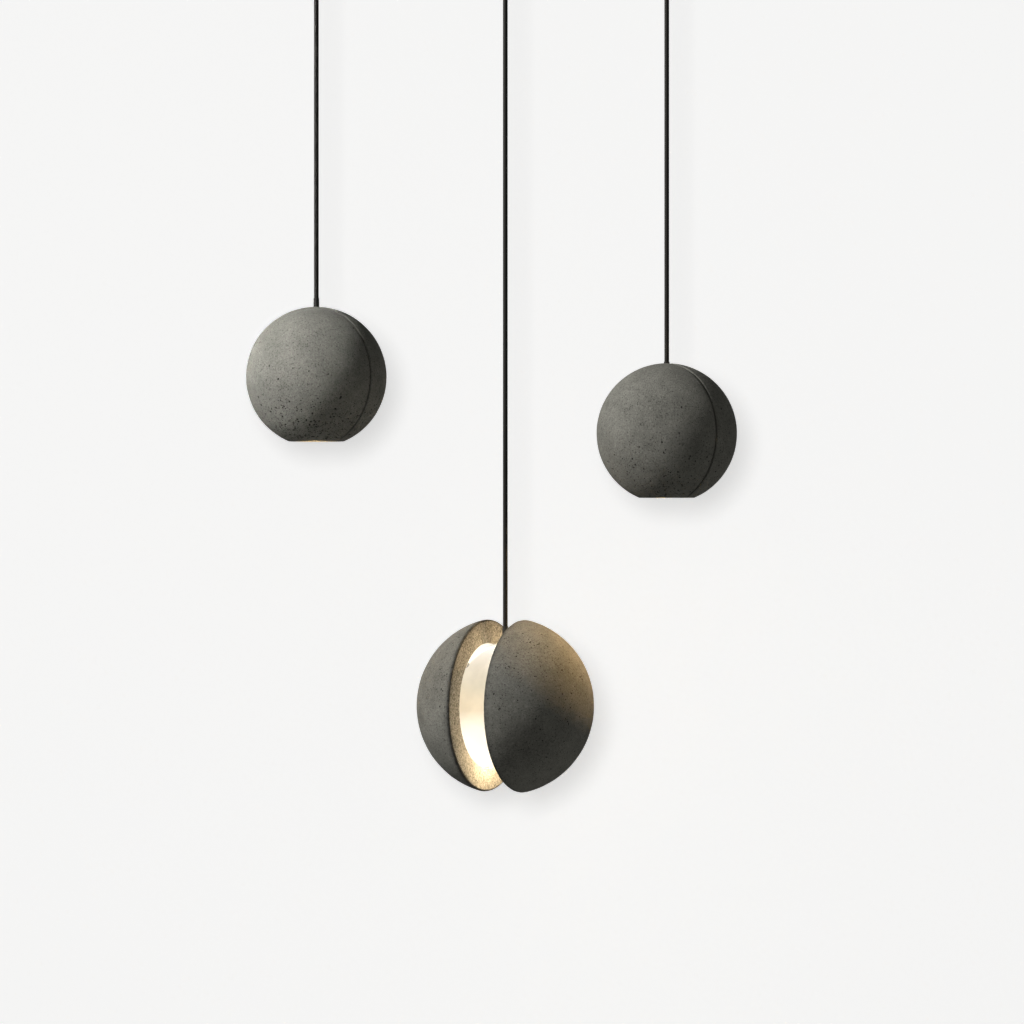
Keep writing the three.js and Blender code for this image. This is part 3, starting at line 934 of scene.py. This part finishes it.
def add_ring(name):
    """The swing ring round the cord at its pivot."""
    inner, outer = RING["inner"], RING["outer"]
    low = PIVOT[name].z / MM - RING["height"] / 2
    high = low + RING["height"]
    bm = lathe(rounded_loop([(inner, low), (outer, low), (outer, high), (inner, high)], 0.5), 64)
    where = Matrix.Translation((PIVOT[name].x, 0, 0))
    turned_piece(f"{name}_bush", bm, "dark_metal", f"{name}_link", "dark_metal",
                 [f"{name}_swing_ring"], where)


def globe_piece(name, piece, bm, look, node, where, crisp=35):
    """A turned piece on a globe, in the given look."""
    turned_piece(f"{name}_{piece}", bm, look, f"{name}_globe", look, [f"{name}_{node}"], where, crisp)


def add_ferrule(name, where):
    """A crimped end sleeve where the cord goes into the globe."""
    low, high = NIPPLE_TOP[name] - FERRULE["sunk"], FERRULE_TOP[name]
    outer, inner = FERRULE["outer"], FERRULE["inner"]
    rows = [Vector((outer, low + (high - low) * i / 60)) for i in range(61)]
    for row in rows:
        for crimp in (2.2, 3.8):
            row.x -= 0.22 * math.exp(-((row.y - (high - crimp)) / 0.35) ** 2)
    rows[-1].x -= 0.25
    bm = lathe([Vector((inner, low))] + rows + [Vector((inner, high))], 48)
    globe_piece(name, "sleeve", bm, "dark_metal", "ferrule", where)


def add_nipple(name, where):
    """The threaded tube that carries the globe."""
    low, high = HOLDER_TOP[name] - HOLDER["height"] + HOLDER["hollow"] + 0.3, NIPPLE_TOP[name]
    thread = threaded(5.0, 0.45, 1.0, low + 0.4, high - 0.4)
    outline = [Vector((3.6, low)), Vector((4.4, low)), *thread, Vector((4.4, high)), Vector((3.6, high))]
    globe_piece(name, "tube", lathe(outline, 48), "dark_metal", "nipple", where)


def add_nuts(name, where):
    """One nut over the strap and one under it."""
    over = STRAP_RADIUS[name] + 0.3
    under = STRAP_RADIUS[name] - STRAP["thickness"] - 0.6 - NUT["length"]
    for level, low in (("upper", over), ("lower", under)):
        nut = hex_nut(low, low + NUT["length"])
        globe_piece(name, f"{level}_hex", nut, "zinc_steel", f"{level}_nut", where, 25)


def add_holder(name, where):
    """A glazed lamp holder: a shouldered cup with two turned grooves."""
    top = HOLDER_TOP[name]
    low = top - HOLDER["height"]
    ceiling = low + HOLDER["hollow"]
    bore, radius = HOLDER["bore"], HOLDER["radius"]
    groove = radius - 0.5
    corners = [(5.3, top), (5.3, ceiling), (bore, ceiling), (bore, low), (13.2, low), (radius, low + 0.8)]
    for start in (6, 10):
        corners += [(radius, low + start), (groove, low + start + 0.4)]
        corners += [(groove, low + start + 1.4), (radius, low + start + 1.8)]
    corners += [(radius, top - 7), (10.5, top)]
    bm = lathe(rounded_loop(corners, 0.6), 72)
    globe_piece(name, "socket", bm, "white_ceramic", "lamp_holder", where)


def add_bulb(name, where):
    """Lamp cap with its round thread, and the frosted bulb under it."""
    low = HOLDER_TOP[name] - HOLDER["height"]
    thread = threaded(7.0, 0.55, 2.4, low - 1, low + 13)
    cap = [Vector((0, low - 1)), *thread, Vector((4, low + 18)), Vector((0, low + 18))]
    globe_piece(name, "cap", lathe(cap, 64, closed_loop=False), "aluminium", "bulb_base", where, 60)
    neck = low - 1.3
    throat = [Vector((7, neck)), Vector((7.3, neck - 0.8)), Vector((7.6, neck - 1.5))]
    ball = [Vector((p.x, p.y + low - 25)) for p in arc(BULB_RADIUS, math.radians(62), -math.pi / 2, 1.4)]
    ball[-1].x = 0.0
    shoulder = []
    for t in (0.25, 0.5, 0.75):
        shoulder.append(throat[-1].lerp(ball[0], t) - Vector((0.9 * math.sin(math.pi * t), 0)))
    glass = lathe([Vector((0, neck)), *throat, *shoulder, *ball], 72, closed_loop=False)
    look = "lamp_glass" if name == "large" else "lamp_glass_dim"
    turned_piece(f"{name}_bulb", glass, look, f"{name}_globe", "lamp_glass",
                 [f"{name}_bulb_glass"], where, 60)


# ---- sheet metal

def ring_of(x, y, radius, sides=32):
    """A round hole, as a loop of points."""
    turns = [2 * math.pi * i / sides for i in range(sides)]
    return [Vector((x + radius * math.cos(t), y + radius * math.sin(t))) for t in turns]


def rounded_rectangle(length, width, corner, steps=8):
    """A rectangle about the origin with round corners, anticlockwise."""
    points = []
    for sx, sy, start in ((1, 1, 0), (-1, 1, 90), (-1, -1, 180), (1, -1, 270)):
        x, y = sx * (length / 2 - corner), sy * (width / 2 - corner)
        for i in range(steps + 1):
            angle = math.radians(start + 90 * i / steps)
            points.append(Vector((x + corner * math.cos(angle), y + corner * math.sin(angle))))
    return points


def bent_band(radius):
    """The strap: a flat band with softened edges, bent along an arc in the XZ plane, with its holes."""
    middle = radius - STRAP["thickness"] / 2
    length = 2 * (math.pi / 2 - math.radians(STRAP["low"])) * middle
    outline = rounded_rectangle(length, STRAP["width"], STRAP["corner"], 4)
    holes = [ring_of(0.0, 0.0, STRAP["bore"], 24)]
    for side in (-1, 1):
        holes.append(ring_of(side * math.radians(90 - STRAP["screw"]) * middle, 0.0, STRAP["hole"], 24))

    def bend(point, depth):
        angle = math.pi / 2 - point.x / middle
        distance = radius - depth
        return Vector((distance * math.cos(angle), point.y, distance * math.sin(angle)))

    return sheet_solid(outline, holes, STRAP["thickness"], 0.35, bend, 2.0)


def spread(loop, longest):
    """Adds points so that no side of the loop is longer than this."""
    out = []
    for i, point in enumerate(loop):
        after = loop[(i + 1) % len(loop)]
        count = max(1, math.ceil((after - point).length / longest))
        out += [point.lerp(after, k / count) for k in range(count)]
    return out


def inset(loop, amount):
    """The loop moved to its left by this much."""
    out = []
    for i, point in enumerate(loop):
        along = (loop[(i + 1) % len(loop)] - loop[i - 1]).normalized()
        out.append(point + Vector((-along.y, along.x)) * amount)
    return out


def inside(point, loop):
    """True if a line from the point towards +X crosses the loop an odd number of times."""
    odd = False
    for i, a in enumerate(loop):
        b = loop[i - 1]
        if (a.y > point.y) == (b.y > point.y):
            continue
        if point.x < (b.x - a.x) * (point.y - a.y) / (b.y - a.y) + a.x:
            odd = not odd
    return odd


def in_sheet(point, outline, holes):
    """True inside the outline and outside all its holes."""
    return inside(point, outline) and not any(inside(point, hole) for hole in holes)


def fill(outline, holes, grid):
    """Triangles over a flat outline with holes, with a grid of points inside it."""
    points, edges = [], []
    for loop in [outline] + holes:
        first = len(points)
        points += loop
        edges += [(first + i, first + (i + 1) % len(loop)) for i in range(len(loop))]
    border = points[:]
    xs, ys = [p.x for p in outline], [p.y for p in outline]
    for i in range(1, int((max(xs) - min(xs)) / grid)):
        for j in range(1, int((max(ys) - min(ys)) / grid)):
            p = Vector((min(xs) + i * grid, min(ys) + j * grid))
            if min((p - q).length for q in border) > 0.6 * grid and in_sheet(p, outline, holes):
                points.append(p)
    flat, _, faces, *_ = delaunay_2d_cdt(points, edges, [], 0, 1e-5)
    kept = []
    for face in faces:
        middle = sum((flat[i] for i in face), Vector((0, 0))) / len(face)
        if in_sheet(middle, outline, holes):
            kept.append(face)
    return flat, kept


def sheet_solid(outline, holes, thickness, chamfer, bend, grid):
    """A sheet-metal piece from a flat outline (anticlockwise) with holes, its edges chamfered."""
    loops = [spread(outline, grid)] + holes
    signs = [1] + [-1] * len(holes)
    inner = [inset(loop, sign * chamfer) for loop, sign in zip(loops, signs)]
    bm = bmesh.new()
    levels = [(inner, 0.0), (loops, chamfer), (loops, thickness - chamfer), (inner, thickness)]
    rows = [[[bm.verts.new(bend(p, depth)) for p in loop] for loop in level] for level, depth in levels]
    for upper, lower in zip(rows, rows[1:]):
        for a, b in zip(upper, lower):
            join_rings(bm, a, b)
    flat, faces = fill(inner[0], inner[1:], grid)
    border = sum(len(loop) for loop in inner)
    for row, depth in ((rows[0], 0.0), (rows[-1], thickness)):
        ring = [v for loop in row for v in loop]
        verts = ring + [bm.verts.new(bend(p, depth)) for p in flat[border:]]
        for face in faces:
            bm.faces.new([verts[i] for i in face])
    return bm


def screw_piece(reach):
    """A round-headed screw along +Z with a hexagon socket; its seat is at height 0."""
    head, length, shank = SCREW["head"], SCREW["length"], SCREW["shank"]
    key = 0.45 * head
    outline = [
        (0, -length + 1.3), (key, -length + 1.3), (key, -length), (head - 0.8, -length),
        (head - 0.2, -length + 0.35), (head, -length + 0.9), (head, -0.2), (head - 0.2, 0), (shank, 0),
        (shank, reach - 0.8), (shank - 0.7, reach), (0, reach),
    ]
    bm = lathe([Vector(p) for p in outline], 48, closed_loop=False)
    shape_radius(bm, lambda r, z: abs(r - key) < 1e-3 and z < -0.5, lambda a, r, z: hexagon(a, key))
    return bm


def aimed(angle):
    """Turns a piece built along +Z to point this many degrees above +X."""
    return Matrix.Rotation(math.radians(90 - angle), 4, "Y")


def add_strap(name, where):
    """The strap inside the globe, and the screw through each of its ends into the wall."""
    mesh = to_mesh(bent_band(STRAP_RADIUS[name]), f"{name}_band")
    sharpen(mesh, 25)
    # The large globe's strap takes the same painted lamp glow as its bowls.
    look = "glow" if name == "large" else "white_enamel"
    place(f"{name}_band", mesh, MATERIALS[look], f"{name}_globe", "white_enamel", [f"{name}_strap"], where)
    seat = STRAP_RADIUS[name] - STRAP["thickness"] - 0.5
    wall = LARGE_RADIUS - LARGE_WALL if name == "large" else SMALL_RADIUS - SMALL_WALL
    for letter, angle in (("a", STRAP["screw"]), ("b", 180 - STRAP["screw"])):
        screw_place = where @ aimed(angle) @ Matrix.Translation((0, 0, seat * MM))
        screw = screw_piece(wall + 8 - seat)
        globe_piece(name, f"bolt_{letter}", screw, "zinc_steel", f"strap_screw_{letter}", screw_place)


for name in NAMES:
    for build in (add_ferrule, add_nipple, add_nuts, add_holder, add_bulb, add_strap):
        build(name, globe_place(name))
    add_grip(name)
    add_ring(name)


# ---- ceiling bar

def cover_wall():
    """(inset, height) points of the tray's wall, from the inside of its floor over the rim to the outside."""
    wall, top, bottom, fold = COVER["wall"], COVER["top"], COVER["bottom"], COVER["fold"]
    section = [(wall + 1.0, bottom + wall), (wall, bottom + wall + 1.0), (wall, top)]
    section += [(0.25, top), (0.0, top - 0.3)]
    section += [(0.0, top - 6 - 5.0 * i) for i in range(3)]
    for i in range(7):
        turn = math.pi / 2 * i / 6
        section.append((fold * (1 - math.cos(turn)), bottom + fold * (1 - math.sin(turn))))
    return section


def cover_floor(bm, ring, outlets, height):
    """Fills a ring of the tray but for its outlets; gives the vertices round each outlet."""
    loop = [Vector((v.co.x, v.co.y)) for v in ring]
    flat, faces = fill(loop, outlets, 16)
    verts = ring + [bm.verts.new((p.x, p.y, height)) for p in flat[len(ring):]]
    for face in faces:
        bm.faces.new([verts[i] for i in face])
    sides = len(outlets[0])
    return [verts[len(ring) + sides * i:len(ring) + sides * (i + 1)] for i in range(len(outlets))]


def add_cover():
    """The slim cover: one folded tray with a soft bottom edge and three outlets."""
    outline = spread(rounded_rectangle(COVER["length"], COVER["width"], COVER["corner"]), 12)
    outlets = [ring_of(PIVOT[name].x / MM, 0, COVER["outlet"]) for name in NAMES]
    bm = bmesh.new()
    rings = []
    for amount, height in cover_wall():
        rings.append([bm.verts.new((p.x, p.y, height)) for p in inset(outline, amount)])
    for a, b in zip(rings, rings[1:]):
        join_rings(bm, a, b)
    outer = cover_floor(bm, rings[-1], outlets, COVER["bottom"])
    inner = cover_floor(bm, rings[0], outlets, COVER["bottom"] + COVER["wall"])
    for a, b in zip(outer, inner):
        join_rings(bm, a, b)
    mesh = to_mesh(bm, "cover_tray")
    sharpen(mesh, 40)
    place("cover_tray", mesh, MATERIALS["black_paint"], "canopy", "black_paint", ["canopy_cover"])


def lug(side):
    """The upright end lug of the plate on one side."""

    def stand(point, depth):
        return Vector((side * (PLATE["length"] / 2 - depth), point.y * side, LUG["middle"] + point.x))

    outline = rounded_rectangle(LUG["height"], LUG["width"], LUG["corner"], 5)
    hole = ring_of(LUG["hole_at"], 0, LUG["hole"], 24)
    return sheet_solid(outline, [hole], PLATE["thickness"], 0.3, stand, 6)


def add_plate():
    """The fixing plate on the ceiling, with screw holes, a cable hole and an end lug each side."""
    outline = rounded_rectangle(PLATE["length"], PLATE["width"], PLATE["corner"], 5)
    holes = [ring_of(x, 0, radius, 32 if radius > 5 else 24) for x, radius in PLATE_HOLES]

    def lie(point, depth):
        return Vector((point.x, point.y, -depth))

    bm = sheet_solid(outline, holes, PLATE["thickness"], 0.3, lie, 12)
    for side in (-1, 1):
        piece = lug(side)
        mesh = bpy.data.meshes.new("lug")
        piece.to_mesh(mesh)
        piece.free()
        bm.from_mesh(mesh)
    mesh = to_mesh(bm, "fixing_plate")
    sharpen(mesh, 30)
    place("fixing_plate", mesh, MATERIALS["zinc_steel"], "canopy", "zinc_steel", ["ceiling_plate"])


def add_cover_screws():
    """One screw through each end of the cover into its lug."""
    out, height = COVER_SCREW_AT
    for name, side in (("left", -1), ("right", 1)):
        seat = Matrix.Translation((side * out * MM, 0, height * MM))
        where = seat @ Matrix.Rotation(-side * math.pi / 2, 4, "Y")
        turned_piece(f"cover_bolt_{name}", screw_piece(9.0), "dark_metal", "canopy",
                     "dark_metal", [f"cover_screw_{name}"], where)


add_cover()
add_plate()
add_cover_screws()

# The pieces inside the closed bar keep their CAD shape.
NODE_LOOKS = {"terminal_block": "grey_plastic"}
for name in NAMES:
    NODE_LOOKS[f"{name}_grip_nut"] = "zinc_steel"
    NODE_LOOKS[f"{name}_lead"] = "black_cord"
for node, look in NODE_LOOKS.items():
    data = frame["nodes"][node].data
    data.materials.clear()
    data.materials.append(MATERIALS[look])
for name in NAMES:
    CORDS[name].data.materials.append(MATERIALS["black_cord"])


# ---- stage and light

def add_light(name, kind, place_at, power, colour):
    """A light of this kind, in the scene."""
    data = bpy.data.lights.new(name, kind)
    data.energy = power
    data.color = colour
    light = bpy.data.objects.new(name, data)
    light.location = place_at
    bpy.context.scene.collection.objects.link(light)
    return light


def area_light(name, place_at, target, size, power, colour=(1, 1, 1)):
    """A round light at one place that faces another."""
    light = add_light(name, "AREA", place_at, power, colour)
    light.data.shape = "DISK"
    light.data.size = size
    light.rotation_euler = (Vector(target) - Vector(place_at)).to_track_quat("-Z", "Y").to_euler()
    return light


def lamp_light(name, power, colour, drop, part=""):
    """The light of a lamp, dropped below its globe's centre; the pieces round it let it through."""
    light = add_light(f"{name}_lamp{part}", "POINT", CENTRE[name] - Vector((0, 0, drop)), power, colour)
    light.data.shadow_soft_size = LAMP_RADIUS
    light.visible_camera = False
    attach(light, f"{name}_globe")
    for inner in ("bulb", "cap", "socket", "tube", "band", "upper_hex", "lower_hex"):
        bpy.data.objects[f"{name}_{inner}"].visible_shadow = False
    return light


def stage_sheet(name, corners, material):
    """A flat stage piece that is seen but lights nothing."""
    mesh = bpy.data.meshes.new(name)
    mesh.from_pydata(corners, [], [(0, 1, 2, 3)])
    mesh.materials.append(material)
    sheet = link(name, mesh)
    sheet.visible_diffuse = False
    sheet.visible_glossy = False
    sheet.visible_transmission = False
    return sheet


def paper_material(name, glow):
    """Nearly even pale paper; seen from behind it lets the view through."""
    n = Nodes(name)
    n.set(Base_Color=BACKDROP_PAPER, Roughness=1.0, Specular_IOR_Level=0.0)
    n.set(Emission_Color=(glow, glow, glow), Emission_Strength=1.0)
    side = n.add("ShaderNodeMixShader")
    n.put(side.inputs[0], n.add("ShaderNodeNewGeometry").outputs["Backfacing"])
    n.put(side.inputs[1], n.shader.outputs[0])
    n.put(side.inputs[2], n.add("ShaderNodeBsdfTransparent").outputs[0])
    n.put(n.tree.nodes["Material Output"].inputs["Surface"], side.outputs[0])
    return n.material


def only_lights(light, pieces, listed="INCLUDE"):
    """Limits a light to these pieces, or to everything but them."""
    group = bpy.data.collections.new(f"{light.name}_receivers")
    for piece in pieces:
        group.objects.link(piece)
    for entry in group.collection_objects:
        entry.light_linking.link_state = listed
    light.light_linking.receiver_collection = group


def make_stage():
    """A pale floor, and a pale sheet close behind that takes a faint soft shadow."""
    paper = paper_material("pale_paper", BACKDROP_GLOW)
    ground = paper_material("pale_floor", FLOOR_GLOW)
    y, low, high, wide, floor = BACKDROP_Y, FLOOR_Z, BACKDROP_TOP, BACKDROP_REACH, FLOOR_REACH
    upright = [(-wide, y, low), (wide, y, low), (wide, y, high), (-wide, y, high)]
    level = [(-floor, -floor, low), (floor, -floor, low), (floor, floor, low), (-floor, floor, low)]
    return [stage_sheet("backdrop", upright, paper), stage_sheet("floor", level, ground)]


def make_world():
    """Pale to the eye; a dim even fill to the object."""
    world = bpy.data.worlds.new("studio")
    world.use_nodes = True
    tree = world.node_tree
    background = tree.nodes["Background"]
    background.inputs["Color"].default_value = (*FILL_COLOUR, 1)
    background.inputs["Strength"].default_value = 1.0
    seen = tree.nodes.new("ShaderNodeBackground")
    seen.inputs["Color"].default_value = (*PALE, 1)
    rays = tree.nodes.new("ShaderNodeLightPath")
    pick = tree.nodes.new("ShaderNodeMixShader")
    tree.links.new(rays.outputs["Is Camera Ray"], pick.inputs[0])
    tree.links.new(background.outputs[0], pick.inputs[1])
    tree.links.new(seen.outputs[0], pick.inputs[2])
    tree.links.new(pick.outputs[0], tree.nodes["World Output"].inputs["Surface"])
    bpy.context.scene.world = world


def named_from(start):
    """All pieces whose name starts so."""
    return [piece for piece in bpy.data.objects if piece.name.startswith(start)]


def add_lights():
    """A key from the upper left, weak lights from below, the lamps, and one light for the paper alone."""
    stage = make_stage()
    key = area_light("key", KEY_FROM, KEY_AT, KEY_SIZE, KEY_POWER, KEY_COLOUR)
    for name, power in EXTRA_KEY_POWER.items():
        extra = area_light(f"key_{name}", KEY_FROM, KEY_AT, KEY_SIZE, power, KEY_COLOUR)
        only_lights(extra, named_from(f"{name}_"))
    rim = area_light("rim", RIM_FROM, RIM_AT, RIM_SIZE, RIM_POWER, RIM_COLOUR)
    low = area_light("low_left", LOW_FROM, CENTRE["left"], RIM_SIZE, LOW_POWER, RIM_COLOUR)
    only_lights(low, named_from("left_"))
    small_lamps = [
        lamp_light(name, power, LAMP_COLOUR, SMALL_LAMP_DROP) for name, power in SMALL_LAMP_POWER.items()
    ]
    for light in (key, rim, *small_lamps):
        only_lights(light, stage, "EXCLUDE")
    for part, (drop, power) in zip(("_low", "_high"), LARGE_LAMPS):
        lamp = lamp_light("large", power, LARGE_LAMP_COLOUR, drop, part)
        # The bowls get no light from the lamp; it is painted on them as a glow.
        only_lights(lamp, stage + named_from("large_bowl_"), "EXCLUDE")
    paper_light = area_light("paper_light", PAPER_LIGHT_FROM, VIEW_CENTRE, PAPER_LIGHT_SIZE, PAPER_POWER)
    only_lights(paper_light, stage[:1])


make_world()
add_lights()

scene = bpy.context.scene
scene.view_settings.view_transform = "Standard"
scene.view_settings.look = "None"
